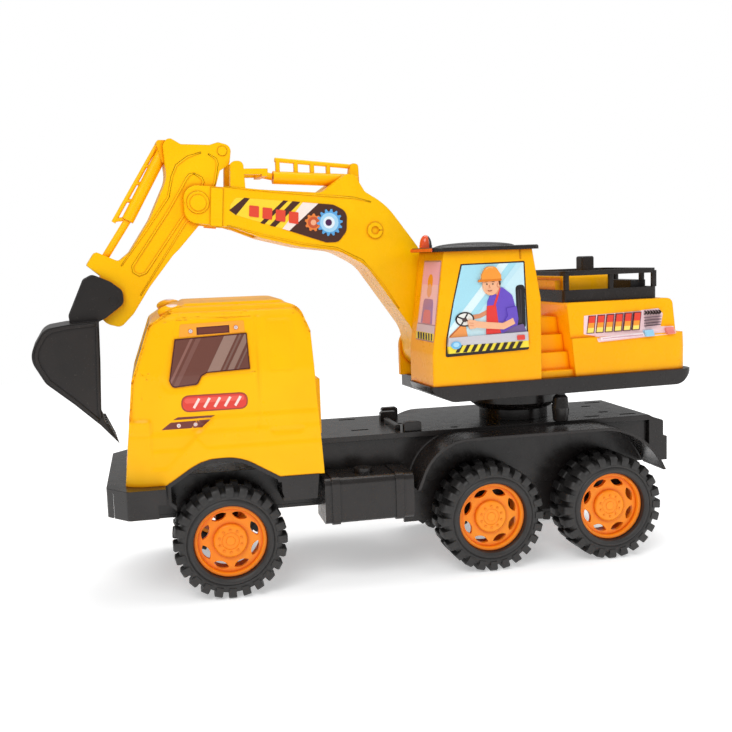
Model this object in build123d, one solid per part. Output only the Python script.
from build123d import *

import os
from math import cos, radians, sin

# Toy truck-mounted excavator: a six-wheel lorry whose deck carries a slewing digger.
# Millimetres, +Z up.  The lorry faces -X and stands on z = 0.  The model is drawn with
# x = 0 at the front axle and y = 0 on the lorry's centre plane, then moved at the end so
# that the origin lies under the middle of the whole toy.

# ---- driving dimensions -------------------------------------------------------------
TYRE_R = 30.0           # over the lugs
TYRE_W = 23.5
TYRE_SECTION = 10.6     # tyre bore to the top of the lugs
TYRE_SEAT_R = TYRE_R - TYRE_SECTION
TRACK_HALF = 55.0       # centre plane to the outer face of a tyre
LUGS = 24
LUG_DEPTH = 2.6
LUG_SPAN = 6.5
AXLE_R = 1.5
AXLE_CLEAR = 0.08
MID_AXLE = 144.9
REAR_AXLE = 216.6
RIM_INSET = 5.0         # rim face behind the tyre's outer face
RIM_W = 17.0
RIM_SLOTS = 8
RIM_SLOT_HALF = 1.9
RIM_BAND = 5.4          # rim bead to the middle of the holes
RIM_SPOKE = 8.4         # how much tighter a hole's arc is than the ring they stand on

SILL_Z = 63.0           # joint between the cab and the chassis
DECK_Z = 77.8
DECK_T = 3.0
DECK_HALF = 32.0
DECK_FRONT = 52.0
DECK_REAR = 251.0
SIDE_HALF = 29.0        # outside of the chassis side walls
WALL = 2.0
BELLY_Z = 40.0          # underside of the chassis between the axle hangers
HANGER_HALF = 6.0       # half length of an axle hanger
HANGER_W = 7.0
HANGER_LOW = TYRE_R - 4.5
RAIL_FRONT = 100.0      # thin rail that joins the rear hangers of a side
RAIL_REAR = 235.0
FRAME_FRONT = -48.0
REAR_CUT = 238.0        # the chassis floor rises behind the rear axle
REAR_LOW = 50.0

CAB_HALF = 52.5
CAB_FRONT = -52.0
CAB_REAR = 51.2
CAB_TOP = 154.0
CAB_CORNER = 14.0
CAB_WALL = 2.2
ARCH_ROUND = 28.0
ARCH = [(-31.3, SILL_Z), (-12.2, 75.2, ARCH_ROUND), (7.0, 75.2, ARCH_ROUND), (27.5, SILL_Z)]
ARCH_LINER_T = 2.0
TANK_FRONT = 50.6
TANK_REAR = 99.5

BUMPER_FRONT = -61.8
BUMPER_HALF = 61.0
BUMPER_LOW = 48.0
BUMPER_HIGH = 63.0

FENDER_HALF = 56.0
FENDER_TOP = 76.5
FENDER_T = 1.5

SLEW_X = 177.7          # turntable axis
REST_SLEW = 5.0         # the digger stands turned this far towards the left side
RING_R = 27.4
PEDESTAL_R = 20.5
PEDESTAL_TOP = 84.0
SPIGOT_R = 8.0
SPIGOT_RISE = 4.0       # how far the spigot enters the turret base
SLEW_GAP = 0.3
BASE_LOW = 95.0
BASE_T = 9.0
BASE_TOP = BASE_LOW + BASE_T
FLOOR_Z = 104.0         # height of the base's top face in the views of all that stands on it
BASE_HALF = 40.0
BASE_FRONT = -67.7
BASE_REAR = 101.3

ROOF_Z = 178.0
BODY_TOP = 146.5
LEDGE_Z = 126.0
LEDGE_STEP = 1.6
THIN_WALL = 1.8
BODY_HALF = 37.5
RAIL_Z = 164.5

ARM_Y = 14.0            # centre plane of boom, dipper and bucket
BOOM_W = 24.0
DIPPER_W = 15.4
BUCKET_W = 40.0
JOINT_GAP = 0.3
CHEEK_T = 3.0           # cheeks of the boom bracket
CHEEK_FACE = ARM_Y - BOOM_W / 2 - JOINT_GAP - CHEEK_T
CAB_RIGHT = CHEEK_FACE - JOINT_GAP      # inner side wall of the driver's cab
ARM_WALL = 1.8
PIN_R = 2.5
PIN_CLEAR = 0.06
PIN_HEAD = 1.2

BOOM_PIN = (-49.5, 121.0)
BOOM_FOOT_R = 11.7
DIPPER_PIN = (-184.4, 208.6)
BUCKET_PIN = (-231.5, 157.8)


# ---- small drawing helpers ----------------------------------------------------------
def flat(points):
    """Face from corners (a, b) or (a, b, radius)."""
    face = make_face(Polyline(*[point[:2] for point in points], close=True))
    for point in points:
        if len(point) > 2:
            corner = face.vertices().sort_by_distance((point[0], point[1], 0))[0]
            face = fillet(corner, point[2])
    return face


def across(face, low, high):
    """Solid from a side-view (x, z) face between two values of y."""
    return extrude(Plane.XZ.offset(-high) * face, high - low)


def upward(face, low, high):
    """Solid from a plan (x, y) face between two heights."""
    return extrude(Plane.XY.offset(low) * face, high - low)


def lengthwise(face, low, high):
    """Solid from a front-view (y, z) face between two values of x."""
    return extrude(Plane.YZ.offset(low) * face, high - low)


def block(x0, x1, y0, y1, z0, z1):
    return Pos((x0 + x1) / 2, (y0 + y1) / 2, (z0 + z1) / 2) * Box(x1 - x0, y1 - y0, z1 - z0)


def rod_y(x, z, radius, y0, y1):
    """Round bar along y."""
    return Pos(x, (y0 + y1) / 2, z) * Rot(90, 0, 0) * Cylinder(radius, y1 - y0)


def rod_z(x, y, radius, z0, z1):
    """Round bar along z."""
    return Pos(x, y, (z0 + z1) / 2) * Cylinder(radius, z1 - z0)


def rod_between(start, end, radius):
    """Round bar between two points."""
    run = Line(start, end)
    return sweep(Plane(start, z_dir=run % 0) * Circle(radius), path=run)


def one(shape):
    """The single solid of a shape."""
    return shape.solids().sort_by(SortBy.VOLUME)[-1]


pieces = {}
TURRET = Pos(SLEW_X, 0, 0) * Rot(0, 0, REST_SLEW)
UPPER = TURRET * Pos(0, 0, BASE_TOP - FLOOR_Z)


# ---- chassis ------------------------------------------------------------------------
AXLES = {"front": 0.0, "mid": MID_AXLE, "rear": REAR_AXLE}


def axle_bore(x):
    return rod_y(x, TYRE_R, AXLE_R + AXLE_CLEAR, -SIDE_HALF - 1, SIDE_HALF + 1)


def chassis_frame():
    """Upside-down channel: cab floor, two side walls and cross ribs, open below."""
    low = BELLY_Z + WALL
    body = block(FRAME_FRONT, DECK_FRONT, -SIDE_HALF, SIDE_HALF, SILL_Z - WALL, SILL_Z)
    for side in (-1, 1):
        inner, outer = sorted((side * (SIDE_HALF - WALL), side * SIDE_HALF))
        body += block(FRAME_FRONT, DECK_REAR, inner, outer, low, SILL_Z - WALL)
        body += block(DECK_FRONT, DECK_REAR, inner, outer, SILL_Z - WALL, DECK_Z - DECK_T)
    for x in (FRAME_FRONT, DECK_FRONT, 100.0, 180.0, REAR_CUT - WALL, DECK_REAR - WALL):
        top = SILL_Z - WALL if x < DECK_FRONT else DECK_Z - DECK_T
        body += block(x, x + WALL, -SIDE_HALF, SIDE_HALF, low, top)
    return one(body - block(REAR_CUT, DECK_REAR + 1, -SIDE_HALF, SIDE_HALF, low - 1, REAR_LOW))


def deck():
    """Flat deck with moulded slots along both edges and near the tail."""
    plate = block(DECK_FRONT, DECK_REAR, -DECK_HALF, DECK_HALF, DECK_Z - DECK_T, DECK_Z)
    slots = [(74, 84, 24), (74, 84, -14), (97, 107, -2), (130, 134, -26), (213, 223, -24)]
    slots += [(236, 246, -24), (213, 223, 24), (236, 246, 24), (228, 234, -12), (228, 234, 12)]
    for x0, x1, y in slots:
        plate -= block(x0, x1, y - 1.4, y + 1.4, DECK_Z - 1.2, DECK_Z + 1)
    return one(plate)


HANGERS = [(side, axles) for side in (-1, 1) for axles in ((AXLES["front"],), (MID_AXLE, REAR_AXLE))]


def hanger_volume(side, axles):
    """Hanger blocks of one side, with their thin rail where there are two."""
    face, top = side * SIDE_HALF, BELLY_Z + WALL
    y0, y1 = sorted((face - side * HANGER_W, face))
    volume = Part()
    for x in axles:
        hanger = block(x - HANGER_HALF, x + HANGER_HALF, y0, y1, HANGER_LOW, top)
        volume += fillet(hanger.edges().filter_by(Axis.Y).group_by(Axis.Z)[0], 4)
    if len(axles) > 1:
        y0, y1 = sorted((face - side * WALL, face))
        volume += block(RAIL_FRONT, RAIL_REAR, y0, y1, HANGER_LOW, top)
    return one(volume)


SCREW_SPOTS = [(x, y) for x in (-38.0, 72.0, 172.0) for y in (-20.0, 20.0)]


def belly():
    """Cover that closes the channel from below, cut out round the axle hangers."""
    tray = block(FRAME_FRONT, REAR_CUT, -SIDE_HALF, SIDE_HALF, BELLY_Z, BELLY_Z + WALL)
    for x, y in SCREW_SPOTS:
        tray += rod_z(x, y, 3.4, BELLY_Z + WALL, BELLY_Z + 9)
        tray -= rod_z(x, y, 1.3, BELLY_Z - 1, BELLY_Z + 10)
        tray -= rod_z(x, y, 2.8, BELLY_Z - 1, BELLY_Z + 1.5)
    for side, axles in HANGERS:
        tray -= hanger_volume(side, axles)
    return one(tray)


def axle_hangers():
    """Blocks under the side walls that carry the wire axles; a rail joins the rear ones."""
    hangers = []
    for side, axles in HANGERS:
        hanger = hanger_volume(side, axles)
        for x in axles:
            hanger -= axle_bore(x)
        hangers.append(one(hanger))
    return Compound(hangers)


def belly_screws():
    """Six pan-head screws, sunk level with the belly cover."""
    screws = []
    for x, y in SCREW_SPOTS:
        screw = rod_z(x, y, 2.5, BELLY_Z + 0.2, BELLY_Z + 1.5)
        screw += rod_z(x, y, 1.2, BELLY_Z + 1.5, BELLY_Z + 8)
        screw -= block(x - 1.6, x + 1.6, y - 0.3, y + 0.3, BELLY_Z, BELLY_Z + 0.8)
        screw -= block(x - 0.3, x + 0.3, y - 1.6, y + 1.6, BELLY_Z, BELLY_Z + 0.8)
        screws.append(one(screw))
    return Compound(screws)


def tail_panel():
    """Stepped end of the deck."""
    side = flat([
        (DECK_REAR, DECK_Z), (DECK_REAR + 3.3, DECK_Z - 2), (DECK_REAR + 9.2, DECK_Z - 3.6, 1.5),
        (DECK_REAR + 9.2, 65), (DECK_REAR + 11.6, 64.3), (DECK_REAR + 11.6, 50), (DECK_REAR, 50),
    ])
    panel = across(side, -DECK_HALF, DECK_HALF)
    return one(panel - block(DECK_REAR + 2, DECK_REAR + 20, -12, 12, 49, 58))


def bumper():
    """Wrap-round front bumper with bevelled corners and short side wings."""
    nose = BUMPER_HALF - 13.3
    plan = flat([
        (BUMPER_FRONT, -nose, 3), (BUMPER_FRONT + 11, -BUMPER_HALF, 3),
        (-32, -BUMPER_HALF), (-32, BUMPER_HALF),
        (BUMPER_FRONT + 11, BUMPER_HALF, 3), (BUMPER_FRONT, nose, 3),
    ])
    shell = upward(plan, BUMPER_LOW, BUMPER_HIGH)
    shell -= block(-58.5, -20, -52, 52, BUMPER_LOW - 1, BUMPER_HIGH - WALL)
    shell -= block(-36, -20, -70, 70, BUMPER_LOW - 1, BUMPER_LOW + 7)
    shell -= block(FRAME_FRONT, -20, -SIDE_HALF, SIDE_HALF, BUMPER_LOW - 1, BUMPER_HIGH + 1)
    return one(shell)


def arch_liner(side):
    """Black lining of the front wheel arch with the skirt box behind the wheel."""
    y0, y1 = sorted((side * (SIDE_HALF), side * (CAB_HALF + 0.3)))
    start, end = ARCH[0][0], ARCH[-1][0]
    outer = flat(ARCH + [(end + 4.4, 49.7), (start + 4, 49.7), (start, 53)])
    strip = outer - offset(outer, -ARCH_LINER_T)
    strip -= flat([(start + 5.5, 40), (end + 1.5, 40), (end + 0.5, 60), (start + 3.5, 60)])
    skirt = flat([(end - 0.5, SILL_Z), (end + 4.4, 49.7), (end + 19.4, 49.9), (end + 20.7, SILL_Z)])
    return one(across(strip + skirt, y0, y1))


def fender(side):
    """One long mudguard over both rear wheels on a side."""
    low, foot = 50.0, 43.0
    outer = flat([(98.6, foot), (112, FENDER_TOP, 29), (236, FENDER_TOP, 42), (252, foot)])
    sheet = outer - offset(outer, -FENDER_T)
    guard = across(sheet, *sorted((side * DECK_HALF, side * FENDER_HALF)))
    return one(guard - block(90, 260, -90, 90, 30, low))


def fuel_tank(side):
    """Side tank with two straps and a filler cap, moulded in one."""
    y0, y1 = sorted((side * SIDE_HALF, side * (FENDER_HALF - 1)))
    tank = block(TANK_FRONT, TANK_REAR, y0, y1, 35, 59.7)
    edges = tank.edges().filter_by(Axis.X).group_by(Axis.Y)[0 if side < 0 else -1]
    tank = fillet(edges, 3.5)
    for x in (56.5, 91.5):
        reach = side * (FENDER_HALF - 0.2)
        s0, s1 = sorted((side * SIDE_HALF, reach))
        strap = fillet(block(x - 2.2, x + 2.2, s0, s1, 34.4, 60.3).edges().filter_by(Axis.X), 3.5)
        tank += strap
    tank += rod_z((TANK_FRONT + TANK_REAR) / 2 - 1, side * 43, 5, 59, 62.5)
    h0, h1 = sorted((side * (SIDE_HALF + WALL), side * (FENDER_HALF - 1 - WALL)))
    return one(tank - block(TANK_FRONT + WALL, TANK_REAR - WALL, h0, h1, 35 + WALL, 59.7 - WALL))


def deck_lugs():
    """Low lugs and a latch bridge moulded on the deck behind the cab."""
    lugs = []
    for x, y in ((102, 12), (106.5, -27.5), (106.5, 27.5)):
        lug = block(x - 5, x + 5, y - 2, y + 2, DECK_Z, DECK_Z + 5.5)
        lugs.append(one(fillet(lug.edges().filter_by(Axis.Y).group_by(Axis.Z)[-1], 1.5)))
    bridge = block(98, 101, -22, 6, DECK_Z, DECK_Z + 3)
    lugs.append(one(fillet(bridge.edges().filter_by(Axis.Y).group_by(Axis.Z)[-1], 1.0)))
    return Compound(lugs)


def pedestal():
    """Turntable seat on the deck with the bearing spigot."""
    seat = rod_z(SLEW_X, 0, PEDESTAL_R, DECK_Z, PEDESTAL_TOP)
    spigot = rod_z(SLEW_X, 0, SPIGOT_R, PEDESTAL_TOP, BASE_LOW + SPIGOT_RISE)
    return one(seat + spigot)


def place_chassis():
    pieces["chassis_frame"] = chassis_frame()
    pieces["chassis_deck"] = deck()
    pieces["belly_cover"] = belly()
    pieces["belly_screws"] = belly_screws()
    pieces["axle_hangers"] = axle_hangers()
    pieces["tail_panel"] = tail_panel()
    pieces["front_bumper"] = bumper()
    pieces["deck_lugs"] = deck_lugs()
    pieces["turntable_pedestal"] = pedestal()
    for name, side in (("left", -1), ("right", 1)):
        pieces[f"arch_liner_{name}"] = arch_liner(side)
        pieces[f"rear_mudguard_{name}"] = fender(side)
        pieces[f"fuel_tank_{name}"] = fuel_tank(side)


# ---- lorry cab ----------------------------------------------------------------------
def cab_side(inset):
    """Side view of the cab, shrunk by a wall inset."""
    i = inset
    return flat([
        (CAB_FRONT + i, SILL_Z), (CAB_FRONT + 5.8 + i, CAB_TOP - 37, 6), (-36.1 + i, CAB_TOP - 8.5, 4),
        (-23 + i, CAB_TOP - i, 12), (41 - i, CAB_TOP - i, 9), (CAB_REAR - 4.2 - i, CAB_TOP - 15),
        (CAB_REAR - i, SILL_Z), (ARCH[3][0] + i, SILL_Z),
        (ARCH[2][0] + i, ARCH[2][1] + i, ARCH_ROUND), (ARCH[1][0] - i, ARCH[1][1] + i, ARCH_ROUND),
        (ARCH[0][0] - i, SILL_Z),
    ])


def cab_volume(inset):
    """Cab outline squeezed to its plan and its front view."""
    half = CAB_HALF - inset
    body = across(cab_side(inset), -half, half)
    plan = flat([
        (CAB_FRONT - 5, -half, CAB_CORNER + 4), (CAB_REAR + 5, -half, 3),
        (CAB_REAR + 5, half, 3), (CAB_FRONT - 5, half, CAB_CORNER + 4),
    ])
    front = flat([(-half, SILL_Z), (half, SILL_Z), (half, CAB_TOP - 34, 30), (half - 3.5, CAB_TOP - inset, 8),
                  (3.5 - half, CAB_TOP - inset, 8), (-half, CAB_TOP - 34, 30)])
    body &= upward(plan, SILL_Z, CAB_TOP)
    return body & lengthwise(front, CAB_FRONT - 9, CAB_REAR + 9)


def cab_shell():
    """Hollow moulded cab, open underneath."""
    shell = cab_volume(0) - cab_volume(CAB_WALL)
    lip = block(CAB_REAR - 2, CAB_REAR + 1.6, -38, 38, 82, 112)
    return one(shell + (lip - cab_volume(CAB_WALL)))


def marker_pods():
    """Two rounded lamp pods on the front edge of the roof."""
    pods = []
    for y in (-39, 39):
        pod = Pos(-23.5, y, CAB_TOP - 2.5) * scale(Sphere(1), by=(7.5, 6, 3.8))
        pods.append(one(pod - cab_volume(0)))
    return Compound(pods)


def place_cab():
    pieces["cab_shell"] = cab_shell()
    pieces["cab_marker_pods"] = marker_pods()


# ---- wheels -------------------------------------------------------------------------
def tyre():
    """Ring tyre, axis on y, outer face at y = 0, with staggered shoulder lugs."""
    w, r = TYRE_W, TYRE_R
    shape = flat([
        (TYRE_SEAT_R, 2.2), (TYRE_SEAT_R, w - 2.2), (TYRE_SEAT_R + 3, w, 1), (r - 4.5, w, 1.5),
        (r, w - 2, 1.2), (r, 2, 1.2), (r - 4.5, 0, 1.5), (TYRE_SEAT_R + 3, 0, 1),
    ])
    ring = revolve(shape, Axis.Y)
    groove = block(r - LUG_DEPTH, r + 2, -1, LUG_SPAN, -1.5, 1.5)
    cuts = []
    for k in range(LUGS):
        turn = 360 / LUGS
        cuts.append(Rot(0, turn * k, 0) * groove)
        cuts.append(Rot(0, turn * (k + 0.5), 0) * Pos(0, w + 1 - LUG_SPAN, 0) * groove)
    ring -= cuts
    hollow = flat([(TYRE_SEAT_R + WALL, 4), (TYRE_SEAT_R + WALL, w - 4), (r - 5.5, w - 4), (r - 5.5, 4)])
    ring -= revolve(hollow, Axis.Y)
    return one(ring)


def rim():
    """Dished wheel with eight lens-shaped holes, axis on y, face at y = 0."""
    r = TYRE_SEAT_R
    barrel = Rot(90, 0, 0) * Cylinder(r, RIM_W) - Rot(90, 0, 0) * Cylinder(r - 2, RIM_W + 2)
    barrel = Pos(0, RIM_W / 2, 0) * barrel
    web = rod_y(0, 0, r - 1, 2.0, 4.6)
    hub = rod_y(0, 0, r - 10.4, 0.6, 4.6) + rod_y(0, 0, 4.0, 4.6, RIM_W)
    disc = barrel + web + hub
    ring = r - RIM_BAND
    arc = ring - RIM_SPOKE
    apart = arc - RIM_SLOT_HALF
    for k in range(RIM_SLOTS):
        lens = Circle(arc) & Pos(0, 2 * apart) * Circle(arc)
        hole = across(Pos(0, -apart) * lens, 0, 6)
        disc -= Rot(0, 360 / RIM_SLOTS * (k + 0.5), 0) * Pos(0, 0, ring) * hole
    return one(disc - rod_y(0, 0, AXLE_R, 1.5, RIM_W + 1))


def place_wheels():
    rubber, wheel = tyre(), rim()
    for name, x in AXLES.items():
        end = TRACK_HALF - RIM_INSET - 1.5
        pieces[f"axle_{name}"] = one(rod_y(x, TYRE_R, AXLE_R, -end, end))
        for side, turn in (("left", 0), ("right", 180)):
            outer = TRACK_HALF if turn else -TRACK_HALF
            face = outer - RIM_INSET if turn else outer + RIM_INSET
            pieces[f"tyre_{name}_{side}"] = Pos(x, outer, TYRE_R) * Rot(0, 0, turn) * rubber
            pieces[f"rim_{name}_{side}"] = Pos(x, face, TYRE_R) * Rot(0, 0, turn) * wheel


# ---- turret (drawn about the turntable axis, facing -x) -----------------------------
def slew_ring():
    """Conical flange under the turret that turns on the pedestal."""
    low = PEDESTAL_TOP + SLEW_GAP
    shape = flat([(0, low), (PEDESTAL_R + 1.5, low), (RING_R, low + 4), (RING_R, BASE_LOW), (0, BASE_LOW)])
    cone = revolve(shape.rotate(Axis.X, 90), Axis.Z)
    return one(cone - rod_z(0, 0, SPIGOT_R + AXLE_CLEAR, low - 1, BASE_LOW + 1))


def base_volume(inset):
    """Boat shape whose ends curve under, shrunk by a wall inset."""
    i = inset
    h = BASE_HALF - i
    front, rear = BASE_FRONT + i, BASE_REAR - i
    low, top = BASE_LOW + i, BASE_TOP - i
    plan = flat([
        (front, -h, 5), (rear, -h, 9), (rear, h, 9),
        (front + 8.7, h, 6), (front + 8.7, -1.5, 1.5), (front, -3.5, 1.5),
    ])
    side = flat([
        (front, top), (front + 2, top - 4 + i, 2), (front + 12, low, 10), (rear - 10, low, 10), (rear, top),
    ])
    return upward(plan, low, top) & across(side, -h, h)


def turret_base():
    """Hollow black floor of the turret with a closed socket for the spigot."""
    socket = SPIGOT_R + AXLE_CLEAR
    hull = base_volume(0) - base_volume(THIN_WALL)
    hull += rod_z(0, 0, socket + THIN_WALL, BASE_LOW, BASE_TOP)
    hull -= rod_z(0, 0, socket, BASE_LOW - 1, BASE_LOW + SPIGOT_RISE + SLEW_GAP)
    return one(hull)


def support_foot():
    """Barrel-shaped foot under the left edge of the base, just clear of the mudguard."""
    low = DECK_Z + 0.6
    shape = flat([
        (0, low), (4.2, low, 1), (5, low + 8), (4.2, low + 14), (2.8, low + 15.5), (2.8, BASE_LOW), (0, BASE_LOW),
    ])
    return one(Pos(13, -BASE_HALF + 4.5, 0) * revolve(shape.rotate(Axis.X, 90), Axis.Z))


def operator_volume(inset):
    """Driver's cab outline, shrunk by a wall inset."""
    i = inset
    side = flat([
        (BASE_FRONT + 1.7 + i, FLOOR_Z), (-0.5 - i, FLOOR_Z), (-0.5 - i, 150), (-5.5 - i, ROOF_Z - i),
        (BASE_FRONT + 9 + i, ROOF_Z - i), (BASE_FRONT + 1.7 + i, FLOOR_Z + 18, 8),
    ])
    left, right = 1.2 - BASE_HALF + i, CAB_RIGHT - i
    plan = flat([(BASE_FRONT + i, left, 5), (10, left), (10, right), (BASE_FRONT + i, right, 3)])
    return across(side, left, right) & upward(plan, FLOOR_Z, ROOF_Z)


def operator_cab():
    """Hollow driver's cab at the turret's left front."""
    return one(operator_volume(0) - operator_volume(THIN_WALL))


def operator_roof():
    """Black overhanging roof with a raised oval dome."""
    plan = flat([(-65, -42, 7), (-1.5, -42, 4), (-1.5, CAB_RIGHT + 0.6, 3), (-65, CAB_RIGHT + 0.6, 5)])
    slab = upward(plan, ROOF_Z, ROOF_Z + 2.4)
    slab = fillet(slab.edges().group_by(Axis.Z)[-1], 1.0)
    dome = Pos(-33, -22, ROOF_Z + 2.2) * scale(Sphere(1), by=(24, 15, 2.6))
    return one(slab + (dome & block(-70, 10, -50, 10, ROOF_Z + 1, ROOF_Z + 9)))


def beacon_lens():
    """Warning-lamp dome near the roof's front edge."""
    x, y, seat = -60.8, -17.5, ROOF_Z + 2.4
    dome = Pos(x, y, seat + 1.6) * scale(Sphere(1), by=(3.4, 3.4, 5.6))
    return one(rod_z(x, y, 3.6, seat, seat + 1.6) + (dome & block(-70, -50, -30, 0, seat, seat + 9)))


def engine_volume(inset):
    """Rear housing outline, shrunk by a wall inset."""
    i = inset
    half = BODY_HALF - i
    wide = flat([(22.3 + i, FLOOR_Z), (98.5 - i, FLOOR_Z), (95 - i, LEDGE_Z - i), (19.8 + i, LEDGE_Z - i)])
    narrow = flat([(21.7 + i, FLOOR_Z + 5), (92 - i, FLOOR_Z + 5), (87.5 - i, BODY_TOP - i, 4),
                   (17.5 + i, BODY_TOP - i, 1.5)])
    plan = flat([(0, -half), (98.5 - i, -half, 9), (98.5 - i, half, 9), (0, half)])
    solid = across(wide, -half, half) + across(narrow, LEDGE_STEP - half, half - LEDGE_STEP)
    return solid & upward(plan, FLOOR_Z, BODY_TOP)


def engine_body():
    """Hollow rear housing with a side ledge and rounded back."""
    return one(engine_volume(0) - engine_volume(THIN_WALL))


def step_block():
    """Four moulded steps between the driver's cab and the rear housing, rising inwards."""
    outline = [
        (-35.5, FLOOR_Z), (-35.5, 108), (-31, 108), (-31, 118), (-26.5, 118), (-26.5, 128), (-22, 128), (-22, 138),
        (-4, 138), (-4, FLOOR_Z),
    ]
    return one(lengthwise(flat(outline), -0.5, 22.5) - engine_volume(0))


def rack_tray():
    """Black roof tray with upright edge."""
    plan = flat([(18.3, -32, 3), (81, -32, 5), (81, 29, 5), (18.3, 29, 3)])
    tray = upward(plan, BODY_TOP, BODY_TOP + 7)
    return one(tray - upward(offset(plan, -2), BODY_TOP + 2, BODY_TOP + 8))


def rack_rails():
    """Guard rail round the tray on posts."""
    low, high, r = BODY_TOP + 7, RAIL_Z - 1.4, 1.4
    plan = flat([(19.8, -30.9, 5), (79.6, -30.9, 5), (79.6, 27.9, 5), (19.8, 27.9, 5)])
    rail = upward(offset(plan, r) - offset(plan, -r), high - r, high + r)
    for x in (20.3, 49.5, 78.5):
        for y in (-30.4, 27.4):
            rail += rod_z(x, y, 1.7, low, high)
    for y in (-16, 13):
        rail += rod_z(79.6, y, 1.7, low, high)
    return one(rail)


def engine_cover():
    """Yellow hood inside the tray with a lower step in front."""
    hood = upward(flat([(24, -20, 4), (56, -20, 4), (56, 18, 4), (24, 18, 4)]), BODY_TOP + 2, 163)
    hood = fillet(hood.edges().group_by(Axis.Z)[-1], 3.5)
    return one(hood + block(20.5, 25, -17, 15, BODY_TOP + 2, 159))


def exhaust():
    """Plain square chimney that stands on the hood."""
    stack = block(46.5, 55, -3, 5, 163, 172.5)
    return one(fillet(stack.edges().filter_by(Axis.Z) + stack.edges().group_by(Axis.Z)[-1], 1.2))


def service_box():
    """Low box with a round filler cap at the rear of the tray."""
    box = block(67, 77, -24, 22, BODY_TOP + 2, 157.5)
    return one(box + rod_z(72, 12, 4, 157.5, 161))


def boom_bracket():
    """Two upright cheeks and a back web that carry the boom's foot."""
    x, z = BOOM_PIN
    r = BOOM_FOOT_R + 1.5
    outline = flat([(x - r, FLOOR_Z), (x + r + 6, FLOOR_Z), (x + r, z + r, r - 0.5), (x - r, z + r, r - 0.5)])
    gap = BOOM_W / 2 + JOINT_GAP
    web = block(x + 16, x + 19, ARM_Y - gap - CHEEK_T, ARM_Y + gap + CHEEK_T, FLOOR_Z, FLOOR_Z + 10)
    cheeks = across(outline, ARM_Y - gap - CHEEK_T, ARM_Y - gap)
    cheeks += across(outline, ARM_Y + gap, ARM_Y + gap + CHEEK_T)
    return one(cheeks + web - rod_y(x, z, PIN_R, -30, 60))


def joint_pin(pin, half, heads=(-1, 1)):
    """Pin through two cheeks with low round heads."""
    x, z = pin
    bar = rod_y(x, z, PIN_R, ARM_Y - half, ARM_Y + half)
    for side in heads:
        y0, y1 = sorted((ARM_Y + side * half, ARM_Y + side * (half + PIN_HEAD)))
        bar += rod_y(x, z, PIN_R + 1.8, y0, y1)
    return one(bar)


def place_turret():
    pieces["slew_ring"] = TURRET * slew_ring()
    pieces["turret_base"] = TURRET * turret_base()
    pieces["support_foot"] = TURRET * support_foot()
    standing = {
        "operator_cab": operator_cab(),
        "operator_roof": operator_roof(),
        "roof_beacon": beacon_lens(),
        "step_block": step_block(),
        "engine_body": engine_body(),
        "rack_tray": rack_tray(),
        "rack_rails": rack_rails(),
        "engine_cover": engine_cover(),
        "exhaust_stack": exhaust(),
        "service_box": service_box(),
        "boom_bracket": boom_bracket(),
        "boom_foot_pin": joint_pin(BOOM_PIN, BOOM_W / 2 + JOINT_GAP + CHEEK_T, heads=(1,)),
    }
    for name, shape in standing.items():
        pieces[name] = UPPER * shape


# ---- boom ---------------------------------------------------------------------------
def boom_outline():
    fx, fz = BOOM_PIN
    foot = BOOM_FOOT_R
    return flat([
        (-191.8, 218.6, 7), (-165.4, 216.6), (-142, 214.8), (-115, 213.2, 8), (-100, 223.5, 3),
        (-95.5, 223.5, 3), (-89.5, 213.5, 3), (-77, 206, 40), (-56, 178.5, 90), (fx + foot, 142, 50),
        (fx + foot, fz - foot, foot - 0.1), (fx - foot, fz - foot, foot - 0.1), (fx - foot - 0.7, 132, 20),
        (-90, 171.5, 22), (-106, 180.4, 25), (-128, 183.3), (-150, 188.8), (-166, 195.2, 10),
        (-191.8, 198.4, 7),
    ])


def boom_half(side):
    """One moulded half of the boom: a cheek with an inward rim, and a fork at the tip."""
    mid = ARM_Y
    outer = mid + side * BOOM_W / 2
    face = boom_outline()
    y0, y1 = sorted((mid, outer))
    half = across(face, y0, y1)
    core = offset(face, -ARM_WALL)
    c0, c1 = sorted((mid - side, outer - side * ARM_WALL))
    half -= across(core, c0, c1)
    x, z = DIPPER_PIN
    slot = DIPPER_W / 2 + JOINT_GAP
    s0, s1 = sorted((mid - side, mid + side * slot))
    half += across(core & Pos(x, z) * Circle(42), *sorted((mid + side * slot, outer)))
    half -= rod_y(x, z, 38, s0, s1)
    fx, fz = BOOM_PIN
    half += rod_y(fx, fz, 7, *sorted((mid, outer)))
    half -= rod_y(fx, fz, PIN_R + PIN_CLEAR, mid - 30, mid + 30)
    return one(half - rod_y(x, z, PIN_R, mid - 30, mid + 30))


def boom_cylinder():
    """Moulded ram barrel and pipe on the boom's back."""
    y = ARM_Y
    start, end = (-140.0, y, 222.8), (-90.5, y, 220.6)
    ram = rod_between(start, end, 3.6)
    ram += rod_between((-138.5, y, 232.6), (-93.5, y, 228.6), 1.3)
    for x in (-137, -126.5, -117, -107.5):
        ram += block(x - 1.1, x + 1.1, y - 1.2, y + 1.2, 221, 228.6 + (-x - 96) / 10.6)
    ram += across(flat([(-97, 214), (-89.5, 214), (-90, 230, 2), (-94.5, 230.5, 2)]), y - 2.4, y + 2.4)
    return one(ram - across(boom_outline(), ARM_Y - BOOM_W, ARM_Y + BOOM_W))


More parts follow.
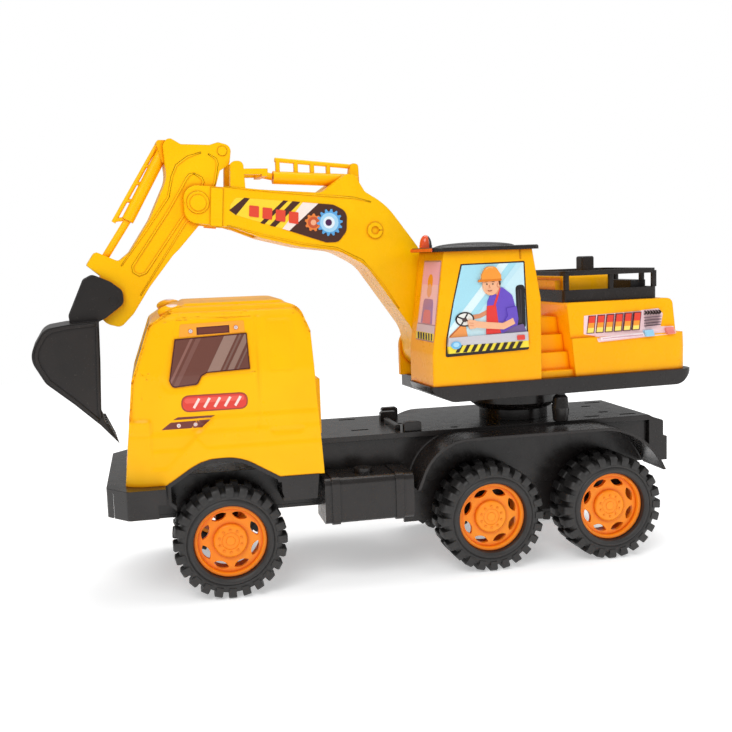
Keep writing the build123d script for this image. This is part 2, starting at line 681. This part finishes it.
def boom_ram_fork():
    """Ram rod whose fork straddles the dipper and stands on the boom's two cheeks."""
    y = ARM_Y
    fork = rod_between((-147.0, y, 224.6), (-140.5, y, 223.2), 2.0)
    fork += block(-148.5, -145.2, y - BOOM_W / 2, y + BOOM_W / 2, 222.6, 226.8)
    for side in (-1, 1):
        y0, y1 = sorted((y + side * (DIPPER_W / 2 + JOINT_GAP + 0.3), y + side * BOOM_W / 2))
        fork += block(-163, -145.2, y0, y1, 223.6, 226.8)
        fork += across(flat([(-166.7, 210), (-157.7, 210), (-158.7, 231, 3), (-165.7, 231, 3)]), y0, y1)
    return one(fork - across(boom_outline(), ARM_Y - BOOM_W, ARM_Y + BOOM_W))


def place_boom():
    pieces["boom_left"] = UPPER * boom_half(-1)
    pieces["boom_right"] = UPPER * boom_half(1)
    pieces["boom_ram_barrel"] = UPPER * boom_cylinder()
    pieces["boom_ram_fork"] = UPPER * boom_ram_fork()
    pieces["dipper_pin"] = UPPER * joint_pin(DIPPER_PIN, BOOM_W / 2)


# ---- dipper -------------------------------------------------------------------------
def dipper_outline():
    return flat([
        (-201, 240, 3), (-198.3, 244.5, 3), (-191.5, 240.4), (-176, 240), (-171.3, 241.5, 3),
        (-164, 239.5, 4), (-165.5, 229.5, 3), (-171, 226), (-174, 216.4, 4), (-184, 196.5),
        (-195, 184.3, 2), (-198.6, 181, 1), (-212.1, 164.2), (-221.5, 150, 5), (-228.5, 143.1, 4),
        (-238.5, 146, 8), (-240.5, 165, 5), (-237.5, 171), (-244.5, 177, 1), (-239.7, 184.2, 2),
        (-227.6, 178.5, 3), (-221.5, 183.4), (-210, 200.7, 15), (-199.7, 222.4, 15), (-200.4, 229.3),
    ])


def dipper_half(side):
    """One moulded half of the dipper arm."""
    mid = ARM_Y
    outer = mid + side * DIPPER_W / 2
    face = dipper_outline()
    half = across(face, *sorted((mid, outer)))
    core = offset(face, -ARM_WALL)
    half -= across(core, *sorted((mid - side, outer - side * ARM_WALL)))
    for x, z in (DIPPER_PIN, BUCKET_PIN):
        half += rod_y(x, z, 6, *sorted((mid, outer)))
        half -= rod_y(x, z, PIN_R + PIN_CLEAR, mid - 30, mid + 30)
    return one(half)


def dipper_cylinder():
    """Moulded ram and pipe along the dipper's outer edge."""
    y = ARM_Y
    top, collar, low = (-200.0, y, 238.0), (-221.3, y, 200.4), (-234.6, y, 180.5)
    pipe_top, pipe_low = (-203.5, y, 240.5), (-228.8, y, 199.6)
    ram = rod_between(top, collar, 3.3) + rod_between(collar, low, 2.0) + rod_between(pipe_top, pipe_low, 1.2)
    for t in (0.03, 0.26, 0.49, 0.72, 0.97):
        inner = tuple(a + (b - a) * t for a, b in zip(top, collar))
        outer = tuple(a + (b - a) * t for a, b in zip(pipe_top, pipe_low))
        ram += rod_between(inner, outer, 1.1)
    ram += across(flat([(-204.5, 243, 1.5), (-196, 243), (-196, 231), (-201.5, 231)]), y - 4, y + 4)
    return one(ram - across(dipper_outline(), ARM_Y - BOOM_W, ARM_Y + BOOM_W))


def place_dipper():
    pieces["dipper_left"] = UPPER * dipper_half(-1)
    pieces["dipper_right"] = UPPER * dipper_half(1)
    pieces["dipper_ram"] = UPPER * dipper_cylinder()


# ---- bucket -------------------------------------------------------------------------
def bucket_outline():
    return [
        (-240.3, 147.5), (-256.5, 146.6, 2), (-268, 145, 8), (-276.6, 131, 11), (-268.8, 116.5, 6),
        (-255.1, 104.5), (-239.3, 89.3), (-236.4, 85.6),
    ]


def bucket_shell():
    """Open digging bucket with side plates, five teeth and two hinge ears."""
    y0, y1 = ARM_Y - BUCKET_W / 2, ARM_Y + BUCKET_W / 2
    mouth = [(-240.6, 95), (-241.9, 101), (-240.8, 127)]
    body = across(flat(bucket_outline() + mouth), y0, y1)
    t = ARM_WALL
    hollow = flat([
        (-230, 147.5 - t), (-256.5, 146.6 - t), (-267, 145 - t, 7), (-276.6 + t, 131, 10), (-267.6, 118, 6),
        (-254.0, 106), (-230, 84.5),
    ])
    body -= across(hollow, y0 + t, y1 - t)
    for k in range(5):
        y = y0 + 3 + k * (BUCKET_W - 6) / 4
        body += across(flat([(-243.4, 93.3), (-233.5, 81.7), (-238.5, 93)]), y - 2, y + 2)
    ear = flat([(-240.3, 146.8), (-236.5, 148.6), (-226.5, 156, 4), (-226.8, 163, 4), (-233, 168, 4),
                (-241.6, 172, 3), (-246.5, 169.5, 3), (-255.3, 150, 4), (-254.8, 146.0)])
    slot = DIPPER_W / 2 + JOINT_GAP
    for side in (-1, 1):
        e0, e1 = sorted((ARM_Y + side * slot, ARM_Y + side * (slot + 3.4)))
        body += across(ear, e0, e1)
    body -= rod_y(*BUCKET_PIN, PIN_R, ARM_Y - 30, ARM_Y + 30)
    return one(body)


def place_bucket():
    pieces["bucket_shell"] = UPPER * bucket_shell()
    pieces["bucket_pin"] = UPPER * joint_pin(BUCKET_PIN, DIPPER_W / 2 + JOINT_GAP + 3.4, heads=())


# ---- assembly -----------------------------------------------------------------------
place_chassis()
place_cab()
place_wheels()
place_turret()
place_boom()
place_dipper()
place_bucket()

whole = Compound([solid for shape in pieces.values() for solid in shape.solids()]).bounding_box()
SHIFT = Pos(-(whole.min.X + whole.max.X) / 2, -(whole.min.Y + whole.max.Y) / 2, -whole.min.Z)

os.makedirs("parts", exist_ok=True)
for name, shape in pieces.items():
    export_step(SHIFT * shape, f"parts/{name}.step")
